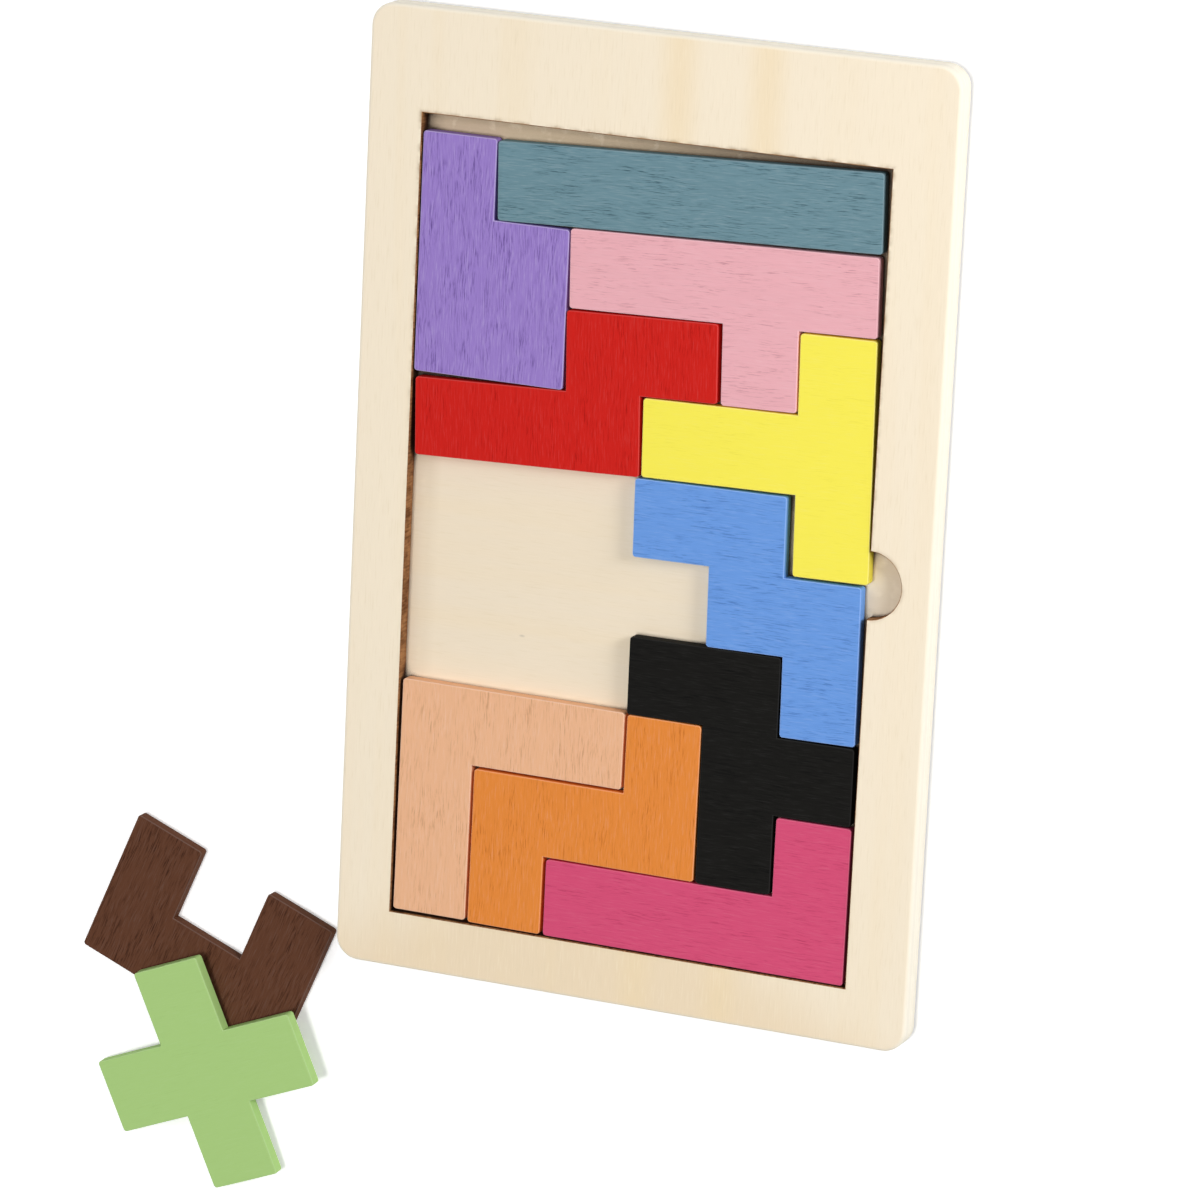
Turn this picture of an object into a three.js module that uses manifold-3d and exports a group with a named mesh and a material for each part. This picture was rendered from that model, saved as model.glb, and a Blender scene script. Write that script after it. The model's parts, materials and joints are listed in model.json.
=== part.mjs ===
// A wooden shape puzzle: a plywood tray with a cut-out pocket, and twelve painted blocks, each
// of five squares of one grid. Ten lie in the pocket, a little loose. Two are taken out and lie
// on the table beside the tray, one leaning on the other.
// Millimetres, +Z up. The origin is the middle of the tray's underside, and +Y runs up the tray.

import * as THREE from 'three';
import { mergeVertices } from 'three/addons/utils/BufferGeometryUtils.js';
import Module from 'manifold-3d';

// Blocks
const CELL = 22.4; // side of one grid square
const BLOCK_GAP = 0.7; // gap between two blocks that lie evenly on the grid
const BLOCK_THICKNESS = 3.5;
const BLOCK_CORNER = 0.8; // radius of the outside corners, seen from above
const BLOCK_EDGE = 0.4; // radius of the sanded edges round both faces

// Tray
const PLAY_ACROSS = 2; // room left in the pocket's width by the whole grid
const PLAY_ALONG = 2.3; // room left in its height
const BORDER_LEFT = 16.3;
const BORDER_RIGHT = 18;
const BORDER_BOTTOM = 16;
const BORDER_TOP = 29;
const FRAME_THICKNESS = 4;
const BASE_THICKNESS = 4;
const TRAY_CORNER = 6.5; // radius of the four outer corners, seen from above
const TRAY_EDGE = 1; // radius of the sanded edges round the front and the back
const NOTCH_RADIUS = 9.4; // half-round finger notch, halfway up the pocket's right side

// The pair that is taken out
const PAIR_ASIDE = 3.5; // clear space between the pair and the tray's left side
const PAIR_ABOVE = 30; // how far the pair reaches up past the tray's bottom edge
const PAIR_TURN = -22; // degrees, of the U's bar to the tray's width
const LEAN_TURN = 45; // degrees, of the X on the U, so that two arms lie over its bar
const LEAN_ALONG = 0.75; // cells from the U's middle to the X's middle, along the bar
const LEAN_OUT = 0.6; // cells from the bar's outer side to the X's middle
const LEAN_CLEARANCE = 0.3; // under the X, over the bar's edge

// Facets: each arc has twice its number of steps
const BLOCK_CORNER_STEPS = 2;
const TRAY_CORNER_STEPS = 5;
const NOTCH_STEPS = 10;
const EDGE_STEPS = 2;

// The solved puzzle, one letter for each square
const SOLUTION = [
  'PIIIII',
  'PPYYYY',
  'PPNNYT',
  'NNNTTT',
  'UUXWWT',
  'UXXXWW',
  'UUXFFW',
  'VVVZFF',
  'VZZZFL',
  'VZLLLL',
];
const ROWS = SOLUTION.length;
const COLUMNS = SOLUTION[0].length;

// A block's drift is its shift from its even place, right and up, and its lean is the rise for
// each cell of its length. Both are counted in gaps, so that a tighter set also lies straighter.
const BLOCKS = {
  P: { name: 'purple_p_block', colour: 0x977dc4, drift: [-1.3, -4.9], lean: 0 },
  I: { name: 'teal_i_block', colour: 0x6d8e99, drift: [-1.1, -2.7], lean: 1.1 },
  Y: { name: 'pink_y_block', colour: 0xebafb7, drift: [-1, -2.3], lean: 0.9 },
  N: { name: 'red_n_block', colour: 0xca2620, drift: [-0.5, -4.2], lean: 1.1 },
  T: { name: 'yellow_t_block', colour: 0xf9ec57, drift: [0.4, -1.5], lean: 0.7 },
  W: { name: 'blue_w_block', colour: 0x6b9be1, drift: [-1.1, -2], lean: 0.5 },
  F: { name: 'black_f_block', colour: 0x1f1e1a, drift: [-0.3, -1.7], lean: 0.2 },
  V: { name: 'peach_v_block', colour: 0xe5af89, drift: [-0.6, -0.9], lean: -0.1 },
  Z: { name: 'orange_z_block', colour: 0xe0863f, drift: [-0.2, -1.5], lean: -0.1 },
  L: { name: 'magenta_l_block', colour: 0xd25275, drift: [0.4, -1.5], lean: 0 },
};
const LOOSE_X = { name: 'green_x_block', colour: 0xa6cb80 };
const LOOSE_U = { name: 'brown_u_block', colour: 0x5c3e30 };
const FRAME_COLOUR = 0xf3e4c8;
const BASE_COLOUR = 0xe6d6bc;
const PAINT_ROUGHNESS = 0.6;
const BARE_WOOD_ROUGHNESS = 0.75;

// Sizes that follow
const POCKET_WIDTH = COLUMNS * CELL + PLAY_ACROSS;
const POCKET_HEIGHT = ROWS * CELL + PLAY_ALONG;
const TRAY_WIDTH = BORDER_LEFT + POCKET_WIDTH + BORDER_RIGHT;
const TRAY_HEIGHT = BORDER_BOTTOM + POCKET_HEIGHT + BORDER_TOP;
const TRAY_THICKNESS = BASE_THICKNESS + FRAME_THICKNESS;
const POCKET_X = (BORDER_LEFT - BORDER_RIGHT) / 2; // the pocket's middle
const POCKET_Y = (BORDER_BOTTOM - BORDER_TOP) / 2;

const SIDES = [[0, 1], [-1, 0], [0, -1], [1, 0]].map(([x, y]) => new THREE.Vector2(x, y));

const wasm = await Module();
wasm.setup();

// A closed geometry as a solid that can be cut
function solidOf(geometry) {
  const bare = geometry.clone();
  bare.deleteAttribute('normal');
  bare.deleteAttribute('uv');
  const merged = mergeVertices(bare);
  return new wasm.Manifold(new wasm.Mesh({
    numProp: 3,
    vertProperties: merged.attributes.position.array,
    triVerts: merged.index.array,
  }));
}

function geometryOf(solid) {
  const { vertProperties, triVerts } = solid.getMesh();
  const geometry = new THREE.BufferGeometry();
  geometry.setAttribute('position', new THREE.BufferAttribute(vertProperties, 3));
  geometry.setIndex(new THREE.BufferAttribute(triVerts, 1));
  geometry.computeVertexNormals();
  return geometry;
}

function woodMesh(name, geometry, colour, roughness) {
  const material = new THREE.MeshStandardMaterial({ color: colour, roughness, metalness: 0 });
  const mesh = new THREE.Mesh(geometry, material);
  mesh.name = name;
  return mesh;
}

// A flat piece cut to an outline, standing on z = 0, its edges sanded round on both faces
function sandedSlab(outline, thickness, edge, cornerSteps) {
  const geometry = new THREE.ExtrudeGeometry(outline, {
    depth: thickness - 2 * edge,
    bevelThickness: edge,
    bevelSize: edge,
    bevelOffset: -edge,
    bevelSegments: EDGE_STEPS,
    curveSegments: cornerSteps,
  });
  return geometry.translate(0, 0, edge);
}

function roundedRectangle(width, height, radius) {
  const x = width / 2 - radius;
  const y = height / 2 - radius;
  const quarter = Math.PI / 2;
  const outline = new THREE.Shape();
  outline.absarc(x, y, radius, 0, quarter);
  outline.absarc(-x, y, radius, quarter, 2 * quarter);
  outline.absarc(-x, -y, radius, 2 * quarter, 3 * quarter);
  outline.absarc(x, -y, radius, 3 * quarter, 4 * quarter);
  return outline;
}

// The pocket with the finger notch in its right side
function pocketOutline() {
  const x = POCKET_WIDTH / 2;
  const y = POCKET_HEIGHT / 2;
  const outline = new THREE.Shape();
  outline.moveTo(-x, y);
  outline.lineTo(-x, -y);
  outline.lineTo(x, -y);
  outline.absarc(x, 0, NOTCH_RADIUS, -Math.PI / 2, Math.PI / 2);
  outline.lineTo(x, y);
  return outline;
}

// The tray is one blank with sanded edges, parted at the glue line into frame and base
function addTray(puzzle) {
  const rim = roundedRectangle(TRAY_WIDTH, TRAY_HEIGHT, TRAY_CORNER);
  const blank = solidOf(sandedSlab(rim, TRAY_THICKNESS, TRAY_EDGE, TRAY_CORNER_STEPS));

  const half = new THREE.BoxGeometry(2 * TRAY_WIDTH, 2 * TRAY_HEIGHT, TRAY_THICKNESS);
  const below = solidOf(half.clone().translate(0, 0, BASE_THICKNESS - TRAY_THICKNESS / 2));
  const above = solidOf(half.clone().translate(0, 0, BASE_THICKNESS + TRAY_THICKNESS / 2));

  const cutter = new THREE.ExtrudeGeometry(pocketOutline(), {
    depth: 2 * TRAY_THICKNESS,
    bevelEnabled: false,
    curveSegments: NOTCH_STEPS,
  });
  const pocket = solidOf(cutter.translate(POCKET_X, POCKET_Y, 0));

  const frame = geometryOf(blank.subtract(below).subtract(pocket));
  const base = geometryOf(blank.subtract(above));
  puzzle.add(woodMesh('tray_frame', frame, FRAME_COLOUR, BARE_WOOD_ROUGHNESS));
  puzzle.add(woodMesh('base_panel', base, BASE_COLOUR, BARE_WOOD_ROUGHNESS));
}

// The squares of one block, as places of their middles in cells from the grid's middle
function squaresOf(letter) {
  const squares = [];
  SOLUTION.forEach((line, row) => {
    [...line].forEach((mark, column) => {
      if (mark === letter) {
        squares.push(new THREE.Vector2(column - (COLUMNS - 1) / 2, (ROWS - 1) / 2 - row));
      }
    });
  });
  return squares;
}

function balancePoint(squares) {
  const sum = squares.reduce((total, square) => total.add(square), new THREE.Vector2());
  return sum.divideScalar(squares.length);
}

// The corners round a block's squares, counter-clockwise, starting at an outside corner
function cornersOf(squares) {
  const key = (point) => `${point.x},${point.y}`;
  const taken = new Set(squares.map(key));
  const edges = new Map();
  for (const square of squares) {
    for (const out of SIDES) {
      if (!taken.has(key(square.clone().add(out)))) {
        const along = new THREE.Vector2(-out.y, out.x);
        const middle = square.clone().addScaledVector(out, 0.5);
        const start = middle.clone().addScaledVector(along, -0.5);
        const end = middle.clone().addScaledVector(along, 0.5);
        edges.set(key(start), { end, along });
      }
    }
  }
  const corners = [];
  let edge = edges.values().next().value;
  for (let step = 0; step < edges.size; step += 1) {
    const following = edges.get(key(edge.end));
    if (!following.along.equals(edge.along)) {
      corners.push({ point: edge.end, arriving: edge.along, leaving: following.along });
    }
    edge = following;
  }
  return corners;
}

// A block's outline about its balance point: half a gap inside its squares, outside corners round
function blockOutline(squares) {
  const middle = balancePoint(squares);
  const outline = new THREE.Shape();
  for (const { point, arriving, leaving } of cornersOf(squares)) {
    const inward = new THREE.Vector2(-arriving.y - leaving.y, arriving.x + leaving.x);
    const corner = point.clone().sub(middle).multiplyScalar(CELL);
    corner.addScaledVector(inward, BLOCK_GAP / 2);
    if (arriving.cross(leaving) > 0) {
      const centre = corner.addScaledVector(inward, BLOCK_CORNER);
      const from = Math.atan2(-arriving.x, arriving.y);
      outline.absarc(centre.x, centre.y, BLOCK_CORNER, from, from + Math.PI / 2);
    } else {
      outline.lineTo(corner.x, corner.y);
    }
  }
  return outline;
}

function blockMesh(letter, { name, colour }) {
  const outline = blockOutline(squaresOf(letter));
  const slab = sandedSlab(outline, BLOCK_THICKNESS, BLOCK_EDGE, BLOCK_CORNER_STEPS);
  return woodMesh(name, slab, colour, PAINT_ROUGHNESS);
}

// The blocks that lie in the pocket, on the base
function addSeatedBlocks(puzzle) {
  for (const [letter, block] of Object.entries(BLOCKS)) {
    const mesh = blockMesh(letter, block);
    const place = balancePoint(squaresOf(letter)).multiplyScalar(CELL);
    place.addScaledVector(new THREE.Vector2(...block.drift), BLOCK_GAP);
    mesh.position.set(POCKET_X + place.x, POCKET_Y + place.y, BASE_THICKNESS);
    mesh.rotation.z = Math.atan2(block.lean * BLOCK_GAP, CELL);
    puzzle.add(mesh);
  }
}

// The U lies flat on the table with its prongs up the tray, and the X leans on it: the X's two
// near corners touch the table, and its underside passes over the outer edge of the U's bar
function addLoosePair(puzzle) {
  const pair = new THREE.Group();
  pair.rotation.z = THREE.MathUtils.degToRad(PAIR_TURN);
  puzzle.add(pair);

  const flat = blockMesh('U', LOOSE_U);
  flat.rotation.z = Math.PI / 2; // its bar is at the left in the solution
  pair.add(flat);
  flat.geometry.computeBoundingBox();
  const barSide = flat.geometry.boundingBox.min.x;

  const leaning = blockMesh('X', LOOSE_X);
  const turn = THREE.MathUtils.degToRad(LEAN_TURN);
  const turned = leaning.geometry.clone().rotateZ(turn);
  turned.computeBoundingBox();
  const reach = -turned.boundingBox.min.y - BLOCK_EDGE;
  const run = reach + LEAN_OUT * CELL;
  const tilt = Math.atan2(BLOCK_THICKNESS + LEAN_CLEARANCE, run);
  leaning.rotation.set(tilt, 0, turn);
  leaning.position.x = LEAN_ALONG * CELL;
  leaning.position.y = barSide - LEAN_OUT * CELL;
  leaning.position.z = reach * Math.sin(tilt);
  pair.add(leaning);

  const extent = new THREE.Box3().setFromObject(pair, true);
  pair.position.x = -TRAY_WIDTH / 2 - PAIR_ASIDE - extent.max.x;
  pair.position.y = -TRAY_HEIGHT / 2 + PAIR_ABOVE - extent.max.y;
}

const puzzle = new THREE.Group();
addTray(puzzle);
addSeatedBlocks(puzzle);
addLoosePair(puzzle);

export default puzzle;
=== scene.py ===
# A wooden shape puzzle: a plywood tray with a laser-cut pocket, and painted blocks of five squares.
# Laid out as an add-on and run as a script. Metres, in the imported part's own frame.
import json
import math
from collections import namedtuple

import bmesh
import bpy
from bpy.props import FloatProperty, FloatVectorProperty, PointerProperty
from mathutils import Matrix, Vector, noise

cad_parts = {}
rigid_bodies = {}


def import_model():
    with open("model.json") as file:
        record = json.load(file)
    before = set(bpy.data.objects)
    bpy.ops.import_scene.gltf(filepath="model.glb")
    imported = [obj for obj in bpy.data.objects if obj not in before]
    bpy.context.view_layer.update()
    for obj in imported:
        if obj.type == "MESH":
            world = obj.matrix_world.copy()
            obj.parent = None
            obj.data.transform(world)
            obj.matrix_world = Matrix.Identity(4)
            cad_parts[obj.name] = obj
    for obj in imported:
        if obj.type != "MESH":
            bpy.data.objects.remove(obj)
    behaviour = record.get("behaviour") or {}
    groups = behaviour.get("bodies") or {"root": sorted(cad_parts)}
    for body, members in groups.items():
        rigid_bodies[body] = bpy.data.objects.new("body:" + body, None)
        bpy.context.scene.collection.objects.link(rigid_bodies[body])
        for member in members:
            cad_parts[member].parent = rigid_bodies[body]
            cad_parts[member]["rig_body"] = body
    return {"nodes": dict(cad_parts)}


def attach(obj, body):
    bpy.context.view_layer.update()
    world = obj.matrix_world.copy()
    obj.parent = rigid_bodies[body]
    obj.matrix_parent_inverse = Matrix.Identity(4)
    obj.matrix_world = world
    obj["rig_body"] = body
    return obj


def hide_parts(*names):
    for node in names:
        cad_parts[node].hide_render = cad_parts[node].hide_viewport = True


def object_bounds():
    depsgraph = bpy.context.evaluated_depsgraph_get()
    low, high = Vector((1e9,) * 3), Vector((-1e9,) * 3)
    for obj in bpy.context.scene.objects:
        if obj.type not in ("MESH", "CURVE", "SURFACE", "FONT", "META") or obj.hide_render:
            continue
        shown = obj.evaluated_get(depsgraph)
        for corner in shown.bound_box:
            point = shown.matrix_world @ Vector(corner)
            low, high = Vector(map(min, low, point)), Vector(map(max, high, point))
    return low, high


bl_info = {
    "name": "Wooden Shape Puzzle",
    "version": (1, 0, 0),
    "blender": (4, 5, 0),
    "location": "View3D > Sidebar > Puzzle",
    "description": "Dresses the packed shape puzzle: plywood tray, painted blocks and a pale studio",
    "category": "Object",
}

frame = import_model()
CAD_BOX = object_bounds()

MM = 0.001
WELD = 0.001 * MM
FLAT = 0.1  # a face whose normal is this near to level is a wall
SHARP = math.radians(40)  # edges that turn more than this are drawn sharp
TRAY_PACE, BLOCK_PACE = 4 * MM, 2 * MM  # a long straight side is cut into runs of about this length
TRAY_STEPS, BLOCK_STEPS, LIP_STEPS = 6, 4, 2  # runs in the section of a rounded edge
TRAY_SHOULDER, BLOCK_SHOULDER = 0.4 * MM, 0.2 * MM  # ring between a rounded edge and the plain face
HAZE_SHARES = (0.3, 0.6, 1.0)  # rings of the haze round the pocket, as shares of its reach
WALL_FOOT_SHADE_CORE = 0.6  # share of its reach over which the painted shade on the floor is even
FLOOR_GAP = 0.02 * MM  # keeps the floor from meeting the undersides face to face


def linear(code):
    """An sRGB hex colour as linear red, green and blue."""
    parts = [int(code[i : i + 2], 16) / 255 for i in (1, 3, 5)]
    return tuple(c / 12.92 if c <= 0.04045 else ((c + 0.055) / 1.055) ** 2.4 for c in parts)


# How the grain shows through each paint: the block's own axis that it follows, how far the open
# pores darken it, how far the ridges pale it, how much the pores cover, how pale the rim is, as wear
# and a painted highlight, and how much brighter the sides are painted, as painted light on the walls in
# the narrow gaps
Grain = namedtuple("Grain", "axis dark pale cover rim side")
GRAIN = {
    "purple_p_block": Grain("Y", 0.45, 0.22, 0.60, 0.45, 1.05),
    "teal_i_block": Grain("X", 0.50, 0.16, 0.50, 0.15, 1.10),
    "pink_y_block": Grain("X", 0.34, 0.15, 0.45, 0.30, 1.20),
    "red_n_block": Grain("Y", 0.35, 0.04, 0.45, 0.10, 1.10),
    "yellow_t_block": Grain("X", 0.09, 0.08, 0.35, 0.30, 1.05),
    "blue_w_block": Grain("X", 0.35, 0.12, 0.55, 0.25, 1.30),
    "black_f_block": Grain("X", 0.60, 0.015, 0.60, 0.03, 1.00),
    "peach_v_block": Grain("Y", 0.30, 0.20, 0.50, 0.35, 1.05),
    "orange_z_block": Grain("Y", 0.30, 0.12, 0.45, 0.25, 1.25),
    "magenta_l_block": Grain("X", 0.25, 0.06, 0.45, 0.12, 1.10),
    "green_x_block": Grain("X", 0.06, 0.05, 0.20, 0.15, 1.00),
    "brown_u_block": Grain("Y", 0.50, 0.04, 0.70, 0.10, 1.00),
}
LOOSE = ("brown_u_block", "green_x_block")
SEATED = tuple(node for node in GRAIN if node not in LOOSE)


# Shapes


def flat_outlines(node):
    """A flat CAD node's own axes, its outlines in them, the outer one first, and its thickness."""
    bm = bmesh.new()
    bm.from_mesh(frame["nodes"][node].data)
    bmesh.ops.remove_doubles(bm, verts=bm.verts, dist=WELD)
    bm.normal_update()
    up = max(bm.faces, key=lambda face: face.calc_area()).normal.copy()
    if up.z < 0:
        up.negate()

    # The lower edge of each wall, as the points that it joins
    following = {}
    for edge in bm.edges:
        walls = [face for face in edge.link_faces if abs(face.normal.dot(up)) < FLAT]
        if len(walls) != 1:
            continue
        middle = (edge.verts[0].co + edge.verts[1].co) / 2
        if (walls[0].calc_center_median() - middle).dot(up) > 0:
            for here, there in (edge.verts, reversed(edge.verts)):
                following.setdefault(here.index, []).append(there.index)
    points = [vert.co.copy() for vert in bm.verts]
    levels = [point.dot(up) for point in points]
    bm.free()

    # The edges, joined end to end into closed loops
    loops = []
    while following:
        start, (at, _) = next(iter(following.items()))
        loop, previous = [start], start
        while at != start:
            loop.append(at)
            onward = [index for index in following[at] if index != previous]
            previous, at = at, onward[0]
        for index in loop:
            del following[index]
        loops.append([points[index] for index in loop])

    def length(loop):
        return sum((b - a).length for a, b in zip(loop, loop[1:] + loop[:1]))

    # The node's own axes, level with or square to its longest straight side, the first nearest to +X
    loops.sort(key=length, reverse=True)
    runs = [b - a for a, b in zip(loops[0], loops[0][1:] + loops[0][:1])]
    along = max(runs, key=lambda run: run.length).normalized()
    if abs(along.x) < abs(along.y):
        along = up.cross(along)
    if along.x < 0:
        along = -along
    across = up.cross(along)

    def span(way):
        reach = [point.dot(way) for point in loops[0]]
        return (min(reach) + max(reach)) / 2

    centre = Vector((span(along), span(across)))
    place = Matrix((along, across, up)).transposed().to_4x4()
    place.translation = along * centre.x + across * centre.y + up * min(levels)

    # The outer outline runs anticlockwise and a hole clockwise, so the wood is always on the left
    outlines = []
    for loop in loops:
        flat = [Vector((p.dot(along), p.dot(across))) - centre for p in loop]
        area = sum(a.cross(b) for a, b in zip(flat, flat[1:] + flat[:1]))
        outer = not outlines
        outlines.append(flat if (area > 0) == outer else flat[::-1])
    return place, outlines, max(levels) - min(levels)


def paced(outline, pace):
    """The outline with its long straight runs cut into about equal paces."""
    points = []
    for a, b in zip(outline, outline[1:] + outline[:1]):
        count = max(1, int((b - a).length / pace))
        points += [a.lerp(b, step / count) for step in range(count)]
    return points


def inward(outline):
    """For each point of an outline, the step into the wood that insets it by one."""
    steps = []
    for before, here, after in zip(outline[-1:] + outline[:-1], outline, outline[1:] + outline[:1]):
        first, second = (here - before).normalized(), (after - here).normalized()
        left, right = Vector((-first.y, first.x)), Vector((-second.y, second.x))
        steps.append((left + right) / (1 + left.dot(right)))
    return steps


def hand_cut(outline, depth, stretch, coat, seed):
    """The outline with the slight waver of a saw line, built out by a coat of paint."""
    wavering = []
    for point, step in zip(outline, inward(outline)):
        waver = noise.noise(Vector((point.x / stretch, point.y / stretch, seed)))
        wavering.append(point + step * (depth * waver - coat))
    return wavering


# One level of a swept edge: how far in, how high, how much rim mark (wear and painted highlight on a
# block, smoke scorch on the frame, painted shade on the floor), how much side
Level = namedtuple("Level", "inset height rim side")


def rounded(radius, top, steps, rim):
    """The levels of a rounded upper edge, from the wall to the flat."""
    levels = []
    for step in range(steps + 1):
        turn = math.pi / 2 * step / steps
        inset, drop = radius * (1 - math.cos(turn)), radius * (1 - math.sin(turn))
        levels.append(Level(inset, top - drop, rim * math.sin(2 * turn), math.cos(turn)))
    return levels


def mirrored(levels, thickness):
    """The same edge on the under side, from the flat to the wall."""
    return [level._replace(height=thickness - level.height) for level in reversed(levels)]


def sweep(bm, outline, levels, wall_finish=0):
    """Walls round an outline through its levels. Returns the lowest and the highest ring."""
    rim, side = bm.verts.layers.float["rim"], bm.verts.layers.float["side"]
    plank = bm.verts.layers.float_vector["plank"]
    steps = inward(outline)
    rings = []
    for level in levels:
        ring = []
        for point, step in zip(outline, steps):
            flat = point + step * level.inset
            vert = bm.verts.new((flat.x, flat.y, level.height))
            vert[rim], vert[side], vert[plank] = level.rim, level.side, vert.co
            ring.append(vert)
        rings.append(ring)
    for low, high, below, above in zip(rings, rings[1:], levels, levels[1:]):
        for i in range(len(outline)):
            j = (i + 1) % len(outline)
            face = bm.faces.new((low[i], low[j], high[j], high[i]))
            face.material_index = wall_finish if below.height < above.height else 0
    return rings[0], rings[-1]


def cap(bm, *rings):
    """A flat face inside the first ring, with the other rings as holes."""
    edges = []
    for ring in rings:
        edges += [bm.edges.get(pair) for pair in zip(ring, ring[1:] + ring[:1])]
    bmesh.ops.triangle_fill(bm, edges=edges, use_beauty=True)


def new_shape():
    """An empty shape that keeps, for its finish, each point's rim, side and place in the plank."""
    bm = bmesh.new()
    bm.verts.layers.float.new("rim")
    bm.verts.layers.float.new("side")
    bm.verts.layers.float_vector.new("plank")
    return bm


def add_piece(name, bm, place, node, *materials):
    """Puts a closed shape in place of a CAD node, on the node's body, with its finish."""
    bmesh.ops.transform(bm, matrix=place, verts=bm.verts)
    bmesh.ops.recalc_face_normals(bm, faces=bm.faces)
    for face in bm.faces:
        face.smooth = True
    for edge in bm.edges:
        if not edge.is_manifold:
            raise RuntimeError(f"{name} isn't closed")
        edge.smooth = edge.calc_face_angle() < SHARP
    mesh = bpy.data.meshes.new(name)
    bm.to_mesh(mesh)
    bm.free()
    for material in materials:
        mesh.materials.append(material)
    piece = bpy.data.objects.new(name, mesh)
    bpy.context.scene.collection.objects.link(piece)
    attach(piece, frame["nodes"][node]["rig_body"])
    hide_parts(node)
    return piece


# Materials


def add_node(tree, kind, inputs=None, **settings):
    """Adds a shader node with its settings, and sets or links its inputs."""
    node = tree.nodes.new("ShaderNode" + kind)
    for name, value in settings.items():
        setattr(node, name, value)
    for socket, value in (inputs or {}).items():
        if isinstance(value, bpy.types.NodeSocket):
            tree.links.new(value, node.inputs[socket])
        else:
            node.inputs[socket].default_value = value
    return node


def new_material(name):
    """An empty material with its tree, and its output node."""
    material = bpy.data.materials.new(name)
    material.use_nodes = True
    material.node_tree.nodes.clear()
    return material, material.node_tree, add_node(material.node_tree, "OutputMaterial")


# Sockets of the Mix node, which has one set for each kind of value
MIX_FACTOR, MIX_A, MIX_B, MIX_COLOUR = 0, 6, 7, 2

# Pores in the paint: the level of the fine grain where they start, how far a full cover lowers
# it, the step up to a full pore, and the shares of a block's darkness in its close and open patches
PORE_LEVEL, PORE_COVER, PORE_STEP, CLOSE_PORES, OPEN_PORES = 0.62, 0.16, 0.13, 0.2, 1.8
PORE_SHADE, PORE_STRENGTH = 0.55, 1.4  # paint that lies thick in a pore is darker, and stronger
STREAKS, STREAK_SHADE = 0.3, 0.75  # how far broad streaks of thicker paint show, and their shade
PALED = 0.55  # how far paint goes towards white: on the ridges of the grain, and on the rims as wear and a painted highlight

# How far each mark of the bare wood hides its plain colour
FLECKS, GLINTS, BANDS, VEINS, KNOT = 0.42, 0.35, 0.2, 0.55, 0.22
KNOT_FORM = (0.5, 1.2, 0)  # a pin knot is drawn out along the grain
GLINT_SHADE, CORE_SHADE, GLUE_SHADE = 1.06, 0.96, 0.88  # against the wood's plain colours
DRIFT_FALL = 0.5  # how much lower the drift starts for each step aside from its middle
SMOKE_AND_SHADE_WAY = (0.2, 0.8, 0)  # the smoke of the cut, and the painted shade on the floor, lie thicker along this way across the tray
LEAST_SMOKE_AND_SHADE = 0.17  # share of the smoke, and of the painted shade on the floor, that is left where there is least of it
SMOKE_AND_SHADE_STEP = 0.35  # from the thinnest clouds of smoke and painted shade to the thickest

# Painted shade in the gaps, by how open the place is, from 0 to 1: where it starts on the bare wood
# and on the burnt wall, the step down to full shade, how far it then hides the colour, and the
# openness below which a block lies on the wood and leaves it unshaded
WOOD_OPENNESS, WALL_OPENNESS, GAP_SHADE_STEP, GAP_SHADE, COVERED = 0.48, 0.53, 0.14, 0.93, 0.06


def rgba(colour):
    return (*colour, 1.0)


def shaded(colour, share):
    """A colour turned darker, or paler where the share is over 1."""
    return tuple(min(1.0, c * share) for c in colour)


def deepened(colour):
    """The darker and stronger colour of paint that lies thick in a pore."""
    return tuple(PORE_SHADE * c**PORE_STRENGTH for c in colour)


def streaks(tree, coords, axis, width, length, detail, seed):
    """A pattern drawn out along the grain, from 0 to 1."""
    along, across = 1 / length, 1 / width
    scale = (along, across, across) if axis == "X" else (across, along, across)
    start = (seed, seed * 7, seed * 3)
    run = add_node(tree, "Mapping", {"Vector": coords, "Location": start, "Scale": scale})
    drawn = add_node(tree, "TexNoise", {"Vector": run.outputs[0], "Scale": 1.0, "Detail": detail,
                                        "Roughness": 0.6})
    return drawn.outputs[0]


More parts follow.
